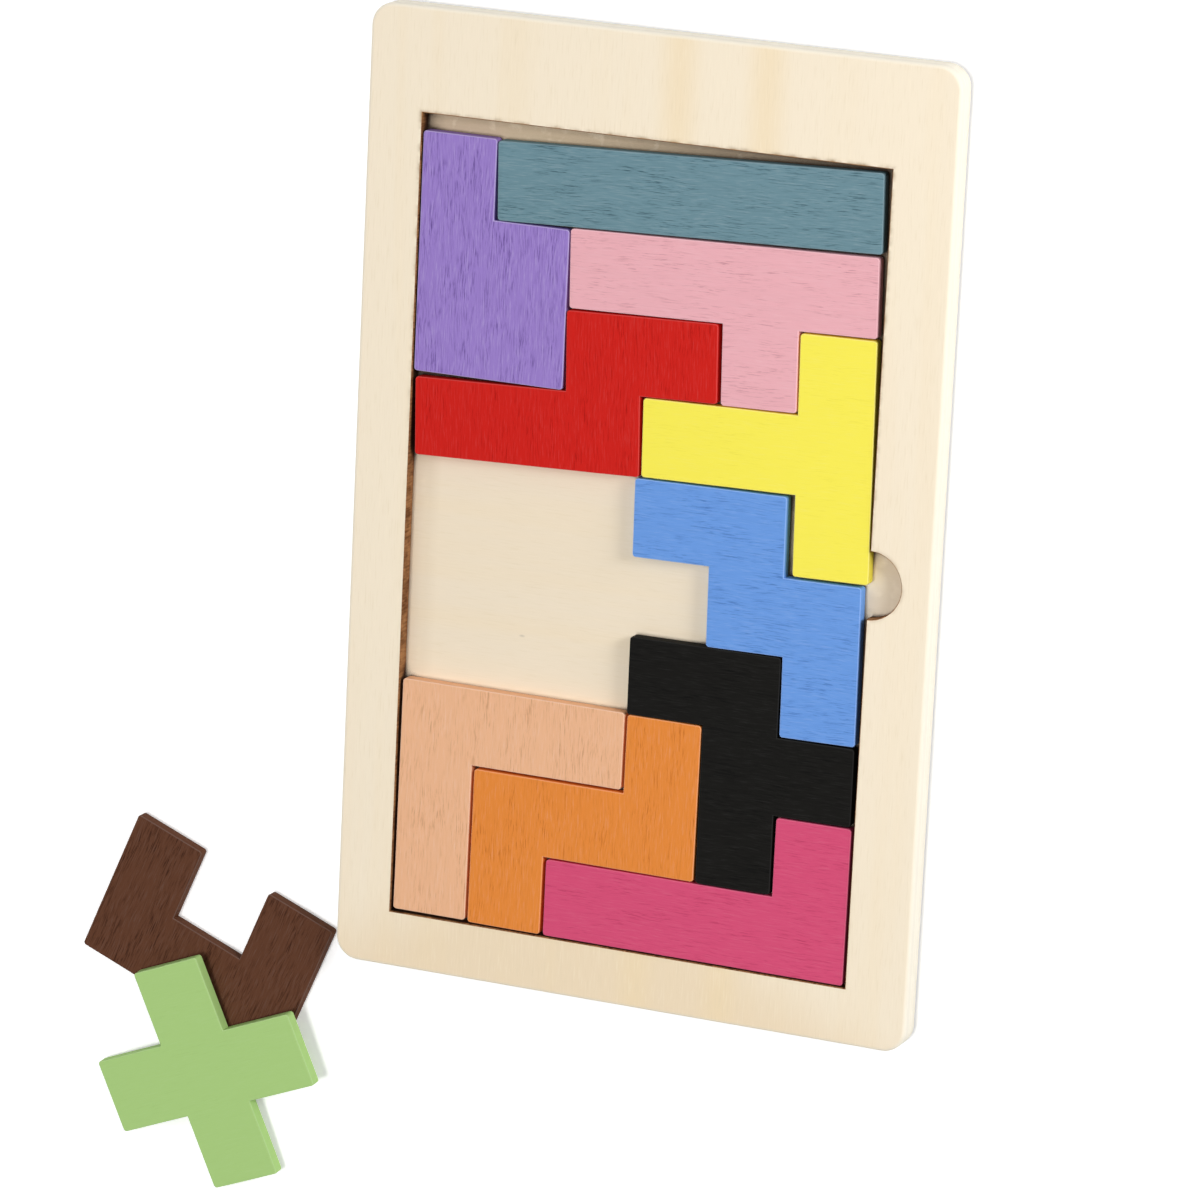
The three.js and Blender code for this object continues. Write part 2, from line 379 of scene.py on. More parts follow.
def thin_paint(node, colour, settings):
    """Matt water paint, rolled thin on sanded birch ply: the pores of the wood stay open and read
    as short dark flecks along the grain, the sanded rims are paler with wear and a painted highlight,
    and the sides are painted a little brighter, as painted light on the walls in the narrow gaps.
    Real pores are about 0.1 mm wide, and are drawn about three times as coarse so that they show."""
    grain = GRAIN[node]
    material, tree, output = new_material(f"Thin matt paint on birch, {node.split('_')[0]}")
    seed = float(list(GRAIN).index(node) + 1)

    sway = settings.grain_sway
    coords = add_node(tree, "Attribute", attribute_name="plank").outputs["Vector"]
    bend = add_node(tree, "TexNoise", {"Vector": coords, "Scale": 1 / settings.grain_bend,
                                       "Detail": 1.0})
    bent = add_node(tree, "VectorMath", {0: bend.outputs["Color"], 1: (sway, sway, 0), 2: coords},
                    operation="MULTIPLY_ADD").outputs[0]
    fine = streaks(tree, bent, grain.axis, settings.fleck_width, settings.fleck_length, 3.0, seed)
    broad = streaks(tree, bent, grain.axis, settings.streak_width, settings.streak_length, 2.0,
                    seed + 20)
    patch = streaks(tree, bent, grain.axis, settings.patch_width, settings.patch_length, 1.0, seed + 40)

    dense = add_node(tree, "MapRange", {"Value": patch, "From Min": 0.35, "From Max": 0.65,
                                        "To Min": CLOSE_PORES * grain.dark,
                                        "To Max": OPEN_PORES * grain.dark})
    low = PORE_LEVEL - PORE_COVER * grain.cover
    pores = add_node(tree, "MapRange", {"Value": fine, "From Min": low, "From Max": low + PORE_STEP,
                                        "To Max": dense.outputs[0]})
    ridges = add_node(tree, "MapRange", {"Value": fine, "From Min": 0.46, "From Max": 0.26,
                                         "To Max": grain.pale})
    thicker = add_node(tree, "MapRange", {"Value": broad, "From Min": 0.40, "From Max": 0.70,
                                          "To Max": STREAKS * grain.dark})
    pale = tuple(c + (1 - c) * PALED for c in colour)
    streaked = add_node(tree, "Mix", {MIX_FACTOR: thicker.outputs[0], MIX_A: rgba(colour),
                                      MIX_B: rgba(shaded(colour, STREAK_SHADE))}, data_type="RGBA")
    ridged = add_node(tree, "Mix", {MIX_FACTOR: ridges.outputs[0], MIX_A: streaked.outputs[MIX_COLOUR],
                                    MIX_B: rgba(pale)}, data_type="RGBA")
    flecked = add_node(tree, "Mix", {MIX_FACTOR: pores.outputs[0], MIX_A: ridged.outputs[MIX_COLOUR],
                                     MIX_B: rgba(deepened(colour))}, data_type="RGBA")
    # Painted highlight, with the wear of sanding: the rounded rims go paler towards white
    rim = add_node(tree, "Attribute", attribute_name="rim")
    rim_wear_and_highlight = add_node(tree, "MapRange", {"Value": rim.outputs["Fac"], "To Max": grain.rim})
    # Painted light: the sides are painted brighter by the block's side share, to light the walls in the
    # narrow gaps
    side = add_node(tree, "Attribute", attribute_name="side")
    sided = add_node(tree, "Mix", {MIX_FACTOR: side.outputs["Fac"], MIX_A: flecked.outputs[MIX_COLOUR],
                                   MIX_B: rgba(shaded(colour, grain.side))}, data_type="RGBA")
    rim_paled = add_node(tree, "Mix", {MIX_FACTOR: rim_wear_and_highlight.outputs[0], MIX_A: sided.outputs[MIX_COLOUR],
                                    MIX_B: rgba(pale)}, data_type="RGBA")
    sunk = add_node(tree, "Bump", {"Height": fine, "Strength": 0.35, "Distance": settings.fleck_depth},
                    invert=True)
    skin = add_node(tree, "BsdfPrincipled", {"Base Color": rim_paled.outputs[MIX_COLOUR], "Roughness": 0.65,
                                             "Specular IOR Level": 0.06, "Normal": sunk.outputs[0]})
    tree.links.new(skin.outputs[0], output.inputs["Surface"])
    return material


def gap_shaded(tree, colour, openness, settings):
    """The colour with a painted shade from ambient occlusion in the narrow gaps and at the foot of the
    walls, down from the openness where it starts. Where a block lies on the wood it is left unshaded."""
    # Painted shade: ambient occlusion darkens the narrow gaps and the foot of the walls
    around = add_node(tree, "AmbientOcclusion", {"Distance": settings.gap_depth}, samples=16)
    opening = around.outputs["AO"]
    uncovered = add_node(tree, "MapRange", {"Value": opening, "From Max": COVERED, "To Max": GAP_SHADE})
    gap_shade_mask = add_node(tree, "MapRange", {"Value": opening, "From Min": openness,
                                       "From Max": openness - GAP_SHADE_STEP, "To Max": uncovered.outputs[0]})
    gap_shaded_colour = add_node(tree, "Mix", {MIX_FACTOR: gap_shade_mask.outputs[0], MIX_A: colour,
                                   MIX_B: rgba(settings.knot_and_gap_shade_colour)}, data_type="RGBA")
    return gap_shaded_colour.outputs[MIX_COLOUR]


def sanded_plywood(name, colour, far_colour, axis, settings, seed, plies, smoke_and_shade_from,
                   veins=(), knot=None):
    """Sanded birch ply, left bare: close, pale and dull, with fine short flecks, soft long bands
    and, round the outside, the edges of its layers. Its tone drifts at the sheet's lower end,
    veins are broad soft bands, a pin knot is a small dark dot, smoke browns it at the cut, a painted
    shade browns the floor at the foot of the burnt wall, and a painted shade from ambient occlusion
    darkens it in the narrow gaps between the blocks. Real fibres are far finer than 0.1 mm, and are
    drawn as bundles that are coarse enough to show."""
    material, tree, output = new_material(name)
    coords = add_node(tree, "Attribute", attribute_name="plank").outputs["Vector"]
    fine = streaks(tree, coords, axis, settings.fibre_width, settings.fibre_length, 3.0, seed)
    broad = streaks(tree, coords, axis, settings.band_width, settings.band_length, 2.0, seed + 20)
    flecks = add_node(tree, "MapRange", {"Value": fine, "From Min": 0.55, "From Max": 0.78,
                                         "To Max": FLECKS})
    glints = add_node(tree, "MapRange", {"Value": fine, "From Min": 0.45, "From Max": 0.28,
                                         "To Max": GLINTS})
    bands = add_node(tree, "MapRange", {"Value": broad, "From Min": 0.48, "From Max": 0.75,
                                        "To Max": BANDS})

    place = add_node(tree, "SeparateXYZ", {"Vector": coords})
    for vein in veins:
        apart = add_node(tree, "Math", {0: place.outputs["X"], 1: vein}, operation="SUBTRACT")
        away = add_node(tree, "Math", {0: apart.outputs[0]}, operation="ABSOLUTE")
        soft = add_node(tree, "MapRange", {"Value": away.outputs[0], "From Min": settings.vein_width / 2,
                                           "From Max": 0, "To Max": VEINS},
                        interpolation_type="SMOOTHSTEP")
        bands = add_node(tree, "Math", {0: bands.outputs[0], 1: soft.outputs[0]}, operation="MAXIMUM")
    aside = add_node(tree, "Math", {0: place.outputs["X"], 1: settings.drift_middle},
                     operation="SUBTRACT")
    away = add_node(tree, "Math", {0: aside.outputs[0]}, operation="ABSOLUTE")
    height = add_node(tree, "Math", {0: away.outputs[0], 1: DRIFT_FALL, 2: place.outputs["Y"]},
                      operation="MULTIPLY_ADD")
    far = add_node(tree, "MapRange", {"Value": height.outputs[0], "From Min": settings.drift_start,
                                      "From Max": settings.drift_end}, interpolation_type="SMOOTHSTEP")
    drifted = add_node(tree, "Mix", {MIX_FACTOR: far.outputs[0], MIX_A: rgba(colour),
                                     MIX_B: rgba(far_colour)}, data_type="RGBA")
    banded = add_node(tree, "Mix", {MIX_FACTOR: bands.outputs[0], MIX_A: drifted.outputs[MIX_COLOUR],
                                    MIX_B: rgba(settings.band_colour)}, data_type="RGBA")
    flecked = add_node(tree, "Mix", {MIX_FACTOR: flecks.outputs[0], MIX_A: banded.outputs[MIX_COLOUR],
                                     MIX_B: rgba(settings.fleck_colour)}, data_type="RGBA")
    faced = add_node(tree, "Mix", {MIX_FACTOR: glints.outputs[0], MIX_A: flecked.outputs[MIX_COLOUR],
                                   MIX_B: rgba(shaded(colour, GLINT_SHADE))}, data_type="RGBA")
    if knot:
        around = add_node(tree, "VectorMath", {0: coords, 1: knot}, operation="SUBTRACT")
        formed = add_node(tree, "VectorMath", {0: around.outputs[0], 1: KNOT_FORM}, operation="MULTIPLY")
        away = add_node(tree, "VectorMath", {0: formed.outputs[0]}, operation="LENGTH")
        dot = add_node(tree, "MapRange", {"Value": away.outputs["Value"],
                                          "From Min": settings.knot_size / 2,
                                          "From Max": settings.knot_size / 8, "To Max": KNOT})
        faced = add_node(tree, "Mix", {MIX_FACTOR: dot.outputs[0], MIX_A: faced.outputs[MIX_COLOUR],
                                       MIX_B: rgba(settings.knot_and_gap_shade_colour)}, data_type="RGBA")

    share = add_node(tree, "MapRange", {"Value": place.outputs["Z"], "From Max": plies})
    layers = add_node(tree, "ValToRGB", {"Fac": share.outputs[0]})
    edge, core, glue = (rgba(shaded(settings.edge_colour, shade))
                        for shade in (1.0, CORE_SHADE, GLUE_SHADE))
    ramp = layers.color_ramp  # three plies, with a thin dark glue line at each joint
    ramp.elements[0].position, ramp.elements[0].color = 0.0, glue
    ramp.elements[1].position, ramp.elements[1].color = 1.0, edge
    for position, tone in ((0.04, edge), (0.31, edge), (0.335, glue), (0.36, core), (0.64, core),
                           (0.665, glue), (0.69, edge)):
        ramp.elements.new(position).color = tone
    side = add_node(tree, "Attribute", attribute_name="side")
    sided = add_node(tree, "Mix", {MIX_FACTOR: side.outputs["Fac"], MIX_A: faced.outputs[MIX_COLOUR],
                                   MIX_B: layers.outputs["Color"]}, data_type="RGBA")

    # The rim mark: smoke haze at the cut on the frame, and painted shade at the foot of the burnt wall
    # on the floor
    rim = add_node(tree, "Attribute", attribute_name="rim")
    smoke = add_node(tree, "TexNoise", {"Vector": coords, "Scale": 1 / settings.cloud_size,
                                        "Detail": 3.0})
    reach = add_node(tree, "MapRange", {"Value": smoke.outputs[0], "From Min": smoke_and_shade_from,
                                        "From Max": smoke_and_shade_from + SMOKE_AND_SHADE_STEP})
    along_way = add_node(tree, "VectorMath", {0: coords, 1: SMOKE_AND_SHADE_WAY}, operation="DOT_PRODUCT")
    drift = add_node(tree, "MapRange", {"Value": along_way.outputs["Value"], "From Min": settings.smoke_and_shade_start,
                                        "From Max": settings.smoke_and_shade_full, "To Min": LEAST_SMOKE_AND_SHADE})
    lasting = add_node(tree, "Math", {0: reach.outputs[0], 1: drift.outputs[0]}, operation="MULTIPLY")
    scorch_and_shade = add_node(tree, "Math", {0: rim.outputs["Fac"], 1: lasting.outputs[0]},
                      operation="MULTIPLY")
    scorched_and_shaded = add_node(tree, "Mix", {MIX_FACTOR: scorch_and_shade.outputs[0], MIX_A: sided.outputs[MIX_COLOUR],
                                      MIX_B: rgba(settings.smoke_and_shade_colour)}, data_type="RGBA")
    # Painted shade in the narrow gaps and at the foot of the walls
    gap_shaded_colour = gap_shaded(tree, scorched_and_shaded.outputs[MIX_COLOUR], WOOD_OPENNESS, settings)

    raised = add_node(tree, "Bump", {"Height": fine, "Strength": 0.25,
                                     "Distance": settings.fibre_depth})
    wood = add_node(tree, "BsdfPrincipled", {"Base Color": gap_shaded_colour, "Roughness": 0.7,
                                             "Specular IOR Level": 0.2, "Normal": raised.outputs[0]})
    tree.links.new(wood.outputs[0], output.inputs["Surface"])
    return material


def charred_edge(settings):
    """Plywood cut by a laser: the wall of the cut is burnt brown, dull and streaked by the beam's
    pulses. Real pulses lie closer together, and are drawn coarser so that they show."""
    material, tree, output = new_material("Laser-charred birch edge")
    coords = add_node(tree, "Attribute", attribute_name="plank").outputs["Vector"]
    pulse, drift = 1 / settings.pulse_pitch, 1 / settings.cloud_size
    run = add_node(tree, "Mapping", {"Vector": coords, "Scale": (pulse, pulse, drift)})
    lines = add_node(tree, "TexNoise", {"Vector": run.outputs[0], "Scale": 1.0, "Detail": 2.0})
    cloud = add_node(tree, "TexNoise", {"Vector": coords, "Scale": drift, "Detail": 2.0})
    both = add_node(tree, "Math", {0: lines.outputs[0], 1: cloud.outputs[0]}, operation="ADD")
    burn = add_node(tree, "MapRange", {"Value": both.outputs[0], "From Min": 0.75, "From Max": 1.25})
    tone = add_node(tree, "Mix", {MIX_FACTOR: burn.outputs[0], MIX_A: rgba(settings.char_colour),
                                  MIX_B: rgba(settings.toast_colour)}, data_type="RGBA")
    ridged = add_node(tree, "Bump", {"Height": lines.outputs[0], "Strength": 0.4,
                                     "Distance": settings.fibre_depth})
    # Painted shade where the wall stands in a narrow gap
    painted_shade = gap_shaded(tree, tone.outputs[MIX_COLOUR], WALL_OPENNESS, settings)
    wall = add_node(tree, "BsdfPrincipled", {"Base Color": painted_shade, "Roughness": 0.85,
                                             "Specular IOR Level": 0.1, "Normal": ridged.outputs[0]})
    tree.links.new(wall.outputs[0], output.inputs["Surface"])
    return material


# What a user would change


class TrayLook(bpy.types.PropertyGroup):
    """Sizes and colours of the bare wooden tray."""

    edge_radius: FloatProperty(
        name="Edge radius", description="Sanded round edge of the tray's outside",
        default=1.0 * MM, min=0.2 * MM, max=2 * MM, unit="LENGTH")
    lip: FloatProperty(
        name="Cut lip", description="Eased edge at the top of the cut pocket",
        default=0.22 * MM, min=0.02 * MM, max=0.5 * MM, unit="LENGTH")
    glue_line: FloatProperty(
        name="Glue line", description="Small groove where the two layers meet outside",
        default=0.12 * MM, min=0.02 * MM, max=0.4 * MM, unit="LENGTH")
    frame_colour: FloatVectorProperty(
        name="Frame", description="Bare wood of the front layer",
        default=linear("#F6E8D0"), min=0, max=1, subtype="COLOR")
    frame_low_colour: FloatVectorProperty(
        name="Frame's lower end", description="Bare wood of the front layer at the lower border",
        default=linear("#EFDBBC"), min=0, max=1, subtype="COLOR")
    drift_start: FloatProperty(
        name="Drift start", description="Where the lower tone starts, up the tray from the middle",
        default=-80 * MM, min=-150 * MM, max=150 * MM, unit="LENGTH")
    drift_end: FloatProperty(
        name="Drift end", description="Where the lower tone is full, up the tray from the middle",
        default=-108 * MM, min=-150 * MM, max=150 * MM, unit="LENGTH")
    drift_middle: FloatProperty(
        name="Drift middle", description="Where across the frame the lower tone is strongest",
        default=-12 * MM, min=-80 * MM, max=80 * MM, unit="LENGTH")
    edge_colour: FloatVectorProperty(
        name="Edges", description="Palest layer on the sawn edges",
        default=linear("#F7F0E0"), min=0, max=1, subtype="COLOR")
    base_colour: FloatVectorProperty(
        name="Base", description="Bare wood of the back layer",
        default=linear("#EFE0C8"), min=0, max=1, subtype="COLOR")
    band_colour: FloatVectorProperty(
        name="Bands", description="Soft darker bands along the grain",
        default=linear("#F2DBB2"), min=0, max=1, subtype="COLOR")
    fleck_colour: FloatVectorProperty(
        name="Flecks", description="Fine flecks along the grain",
        default=linear("#E4D2B0"), min=0, max=1, subtype="COLOR")
    # Also the colour of the painted shade on the floor at the foot of the burnt wall
    smoke_and_shade_colour: FloatVectorProperty(
        name="Smoke", description="Brown haze that the cut left on the face",
        default=linear("#967446"), min=0, max=1, subtype="COLOR")
    char_colour: FloatVectorProperty(
        name="Char", description="Darkest burn on the wall of the cut",
        default=linear("#663F24"), min=0, max=1, subtype="COLOR")
    toast_colour: FloatVectorProperty(
        name="Toast", description="Lightest burn on the wall of the cut",
        default=linear("#A97A50"), min=0, max=1, subtype="COLOR")
    # Painted shade in the narrow gaps, and also the colour of the pin knot
    knot_and_gap_shade_colour: FloatVectorProperty(
        name="Dust", description="Dust and soot in the narrow gaps",
        default=linear("#2C1C12"), min=0, max=1, subtype="COLOR")
    # Reach of the ambient occlusion that paints the shade in the gaps
    gap_depth: FloatProperty(
        name="Gap depth", description="How far a wall shields the floor from being wiped",
        default=6 * MM, min=0.5 * MM, max=20 * MM, unit="LENGTH")
    fibre_width: FloatProperty(
        name="Fibre width", description="Width of the fine flecks, as coarse as they are drawn",
        default=0.45 * MM, min=0.1 * MM, max=2 * MM, unit="LENGTH")
    fibre_length: FloatProperty(
        name="Fibre length", description="Length of the fine flecks",
        default=7 * MM, min=1 * MM, max=40 * MM, unit="LENGTH")
    fibre_depth: FloatProperty(
        name="Fibre depth", description="Height of the fibres that sanding leaves",
        default=0.05 * MM, min=0, max=0.3 * MM, unit="LENGTH")
    band_width: FloatProperty(
        name="Band width", description="Width of the soft bands",
        default=9 * MM, min=1 * MM, max=60 * MM, unit="LENGTH")
    band_length: FloatProperty(
        name="Band length", description="Length of the soft bands",
        default=150 * MM, min=10 * MM, max=600 * MM, unit="LENGTH")
    # Also the size of the clouds in the painted shade on the floor
    cloud_size: FloatProperty(
        name="Smoke size", description="Size of the clouds in the haze and the burn",
        default=4 * MM, min=1 * MM, max=60 * MM, unit="LENGTH")
    smoke_reach: FloatProperty(
        name="Smoke reach", description="How far the haze spreads from the cut",
        default=1.6 * MM, min=0.2 * MM, max=1.6 * MM, unit="LENGTH")
    # Painted shade on the floor at the foot of the burnt wall, and how far it spreads
    wall_foot_shade: FloatProperty(
        name="Soot", description="How far soot from the burnt wall browns the floor at its foot",
        default=0.50, min=0, max=1)
    wall_foot_shade_reach: FloatProperty(
        name="Soot reach", description="How far the soot spreads over the floor",
        default=8.5 * MM, min=1 * MM, max=9 * MM, unit="LENGTH")
    # Also where the painted shade on the floor starts and where it is full
    smoke_and_shade_start: FloatProperty(
        name="Blown from", description="Where the smoke starts, counted up the tray from the middle",
        default=-20 * MM, min=-150 * MM, max=150 * MM, unit="LENGTH")
    smoke_and_shade_full: FloatProperty(
        name="Blown to", description="Where the smoke is full, counted up the tray from the middle",
        default=60 * MM, min=-150 * MM, max=150 * MM, unit="LENGTH")
    vein_places: FloatVectorProperty(
        name="Veins", description="Where the frame's broad soft bands lie, from the middle",
        default=(5.5 * MM, 30.7 * MM), size=2, unit="LENGTH")
    vein_width: FloatProperty(
        name="Vein width", description="Width of the broad soft bands",
        default=17 * MM, min=1 * MM, max=60 * MM, unit="LENGTH")
    knot_place: FloatVectorProperty(
        name="Pin knot", description="Where the base's pin knot lies, from the middle of its underside",
        default=(-34.4 * MM, -36.0 * MM, 4 * MM), subtype="TRANSLATION", unit="LENGTH")
    knot_size: FloatProperty(
        name="Knot size", description="About the width of the pin knot",
        default=1.1 * MM, min=0, max=5 * MM, unit="LENGTH")
    pulse_pitch: FloatProperty(
        name="Pulse pitch", description="Distance between the streaks on the wall, as drawn",
        default=0.6 * MM, min=0.1 * MM, max=3 * MM, unit="LENGTH")


class BlockLook(bpy.types.PropertyGroup):
    """Sizes and colours of the painted blocks."""

    edge_radius: FloatProperty(
        name="Edge radius", description="Sanded round edge of both faces",
        default=0.3 * MM, min=0.1 * MM, max=0.5 * MM, unit="LENGTH")
    coat: FloatProperty(
        name="Coat", description="How far the paint builds out the cut sides",
        default=0.09 * MM, min=0, max=0.1 * MM, unit="LENGTH")
    waver: FloatProperty(
        name="Waver", description="How far the cut sides waver",
        default=0.03 * MM, min=0, max=0.05 * MM, unit="LENGTH")
    waver_length: FloatProperty(
        name="Waver length", description="Length of the waver along a side",
        default=9 * MM, min=2 * MM, max=60 * MM, unit="LENGTH")
    fleck_width: FloatProperty(
        name="Fleck width", description="Width of an open pore, as coarse as it is drawn",
        default=0.30 * MM, min=0.1 * MM, max=2 * MM, unit="LENGTH")
    fleck_length: FloatProperty(
        name="Fleck length", description="Length of an open pore",
        default=4.6 * MM, min=1 * MM, max=40 * MM, unit="LENGTH")
    fleck_depth: FloatProperty(
        name="Fleck depth", description="Depth of an open pore",
        default=0.08 * MM, min=0, max=0.3 * MM, unit="LENGTH")
    streak_width: FloatProperty(
        name="Streak width", description="Width of the broad streaks where the paint lies thicker",
        default=1.8 * MM, min=0.2 * MM, max=20 * MM, unit="LENGTH")
    streak_length: FloatProperty(
        name="Streak length", description="Length of the broad streaks",
        default=30 * MM, min=1 * MM, max=200 * MM, unit="LENGTH")
    grain_sway: FloatProperty(
        name="Grain sway", description="How far the grain sways from straight",
        default=1.2 * MM, min=0, max=6 * MM, unit="LENGTH")
    grain_bend: FloatProperty(
        name="Grain bend", description="Distance over which the grain sways",
        default=12 * MM, min=2 * MM, max=100 * MM, unit="LENGTH")
    patch_width: FloatProperty(
        name="Patch width", description="Width of the patches where more pores stay open",
        default=4.5 * MM, min=1 * MM, max=100 * MM, unit="LENGTH")
    patch_length: FloatProperty(
        name="Patch length", description="Length of the patches where more pores stay open",
        default=14 * MM, min=1 * MM, max=200 * MM, unit="LENGTH")
    purple: FloatVectorProperty(
        name="Purple", description="Paint of the P-shaped block",
        default=linear("#9A7FC9"), min=0, max=1, subtype="COLOR")
    teal: FloatVectorProperty(
        name="Teal", description="Paint of the I-shaped block",
        default=linear("#6D8E99"), min=0, max=1, subtype="COLOR")
    pink: FloatVectorProperty(
        name="Pink", description="Paint of the Y-shaped block",
        default=linear("#EBAFB7"), min=0, max=1, subtype="COLOR")
    red: FloatVectorProperty(
        name="Red", description="Paint of the N-shaped block",
        default=linear("#CE2019"), min=0, max=1, subtype="COLOR")
    yellow: FloatVectorProperty(
        name="Yellow", description="Paint of the T-shaped block",
        default=linear("#F9EC57"), min=0, max=1, subtype="COLOR")
    blue: FloatVectorProperty(
        name="Blue", description="Paint of the W-shaped block",
        default=linear("#6B9BE1"), min=0, max=1, subtype="COLOR")
    black: FloatVectorProperty(
        name="Black", description="Paint of the F-shaped block",
        default=linear("#100F0D"), min=0, max=1, subtype="COLOR")
    peach: FloatVectorProperty(
        name="Peach", description="Paint of the V-shaped block",
        default=linear("#EDB78F"), min=0, max=1, subtype="COLOR")
    orange: FloatVectorProperty(
        name="Orange", description="Paint of the Z-shaped block",
        default=linear("#E68A3C"), min=0, max=1, subtype="COLOR")
    magenta: FloatVectorProperty(
        name="Magenta", description="Paint of the L-shaped block",
        default=linear("#D65077"), min=0, max=1, subtype="COLOR")
    green: FloatVectorProperty(
        name="Green", description="Paint of the X-shaped block",
        default=linear("#AED283"), min=0, max=1, subtype="COLOR")
    brown: FloatVectorProperty(
        name="Brown", description="Stain of the U-shaped block",
        default=linear("#5F3B29"), min=0, max=1, subtype="COLOR")


class StudioLook(bpy.types.PropertyGroup):
    """Floor, light and camera."""

    floor_colour: FloatVectorProperty(
        name="Floor", description="Colour of the floor",
        default=linear("#FFFFFF"), min=0, max=1, subtype="COLOR")
    floor_size: FloatProperty(
        name="Floor size", description="Side of the square floor",
        default=8.0, min=1, max=40, unit="LENGTH")
    floor_glow: FloatProperty(
        name="Floor glow", description="White that the floor shows the camera over its lit colour",
        default=0.3, min=0, max=1)
    sky: FloatProperty(
        name="Sky", description="Light from all round, where 1 makes a white surface white",
        default=0.20, min=0, max=2)
    overhead: FloatProperty(
        name="Overhead", description="Share of a white surface's light that comes from nearly above",
        default=0.455, min=0, max=2)
    overhead_softness: FloatProperty(
        name="Overhead softness", description="Angle that the overhead lamp fills",
        default=math.radians(15), min=0, max=math.pi, subtype="ANGLE")
    overhead_azimuth: FloatProperty(
        name="Overhead direction", description="Turn of the overhead lamp from +X",
        default=math.radians(-140), min=-math.pi, max=math.pi, subtype="ANGLE")
    overhead_height: FloatProperty(
        name="Overhead height", description="Height of the overhead lamp above the horizon",
        default=math.radians(79), min=0, max=math.pi / 2, subtype="ANGLE")
    window: FloatProperty(
        name="Window", description="Share of a white surface's light that comes from the window",
        default=0.11, min=0, max=2)
    window_softness: FloatProperty(
        name="Window softness", description="Angle that the window fills",
        default=math.radians(35), min=0, max=math.pi, subtype="ANGLE")
    window_azimuth: FloatProperty(
        name="Window direction", description="Turn of the window from +X",
        default=math.radians(150), min=-math.pi, max=math.pi, subtype="ANGLE")
    window_height: FloatProperty(
        name="Window height", description="Height of the window above the horizon",
        default=math.radians(52), min=0, max=math.pi / 2, subtype="ANGLE")
    key: FloatProperty(
        name="Key", description="Share of a white surface's light that comes from the key lamp",
        default=0.16, min=0, max=2)
    key_distance: FloatProperty(
        name="Key distance", description="From the tray to the key lamp",
        default=0.85, min=0.3, max=10, unit="LENGTH")
    key_size: FloatProperty(
        name="Key size", description="Width of the key lamp's round face",
        default=0.26, min=0.01, max=5, unit="LENGTH")
    key_azimuth: FloatProperty(
        name="Key direction", description="Turn of the key lamp from +X",
        default=math.radians(22), min=-math.pi, max=math.pi, subtype="ANGLE")
    key_height: FloatProperty(
        name="Key height", description="Height of the key lamp above the horizon",
        default=math.radians(27), min=0, max=math.pi / 2, subtype="ANGLE")
    fill: FloatProperty(
        name="Fill", description="Share of a white surface's light that comes from the low fill lamp",
        default=0.05, min=0, max=2)
    fill_softness: FloatProperty(
        name="Fill softness", description="Angle that the fill lamp fills",
        default=math.radians(20), min=0, max=math.pi, subtype="ANGLE")
    fill_azimuth: FloatProperty(
        name="Fill direction", description="Turn of the fill lamp from +X",
        default=math.radians(28), min=-math.pi, max=math.pi, subtype="ANGLE")
    fill_height: FloatProperty(
        name="Fill height", description="Height of the fill lamp above the horizon",
        default=math.radians(13), min=0, max=math.pi / 2, subtype="ANGLE")
    lens: FloatProperty(
        name="Focal length", description="Of the camera, in millimetres on a 36 mm frame",
        default=198.3, min=20, max=400)
    camera_place: FloatVectorProperty(
        name="Camera", description="Where the camera stands",
        default=(0.6558, 0.4187, 1.6243), subtype="TRANSLATION", unit="LENGTH")
    camera_target: FloatVectorProperty(
        name="Target", description="The point on the tray's face that the camera looks at",
        default=(-0.0101, -0.0215, 0.008), subtype="TRANSLATION", unit="LENGTH")
    camera_roll: FloatProperty(
        name="Roll", description="Turn of the camera from the tray's upright",
        default=math.radians(2.77), min=-math.pi, max=math.pi, subtype="ANGLE")


# Operators


class PUZZLE_OT_frame(bpy.types.Operator):
    """Build the tray's front layer, with its burnt pocket"""

    bl_idname = "puzzle.frame"
    bl_label = "Build Frame"

    def execute(self, context):
        look = context.scene.puzzle_tray
        place, outlines, thickness = flat_outlines("tray_frame")
        rim, pocket = (paced(outline, TRAY_PACE) for outline in outlines)
        edge, lip, groove = look.edge_radius, look.lip, look.glue_line

        bm = new_shape()
        # Outside: half of the groove at the glue line, the sawn side and the sanded edge
        outside = [Level(groove, 0, 0, 1), Level(0, groove, 0, 1)]
        outside += rounded(edge, thickness, TRAY_STEPS, 0)
        outside.append(Level(edge + TRAY_SHOULDER, thickness, 0, 0))
        # Inside: the burnt wall, its eased lip, and a haze that fades over the face
        burnt = [Level(0, 0, 1, 0)] + rounded(lip, thickness, LIP_STEPS, 1)
        inside = [level._replace(rim=1, side=0) for level in burnt]
        for share in HAZE_SHARES:
            reach = lip + (look.smoke_reach - lip) * share
            inside.append(Level(reach, thickness, (1 - share) ** 2, 0))
        low, high = sweep(bm, rim, outside)
        hole_low, hole_high = sweep(bm, pocket, inside, wall_finish=1)
        cap(bm, low, hole_low)
        cap(bm, high, hole_high)

        wood = sanded_plywood("Sanded birch plywood, front", look.frame_colour, look.frame_low_colour,
                              "Y", look, 3.0, thickness, smoke_and_shade_from=0.38, veins=look.vein_places)
        add_piece("tray_frame_wood", bm, place, "tray_frame", wood, charred_edge(look))
        return {"FINISHED"}


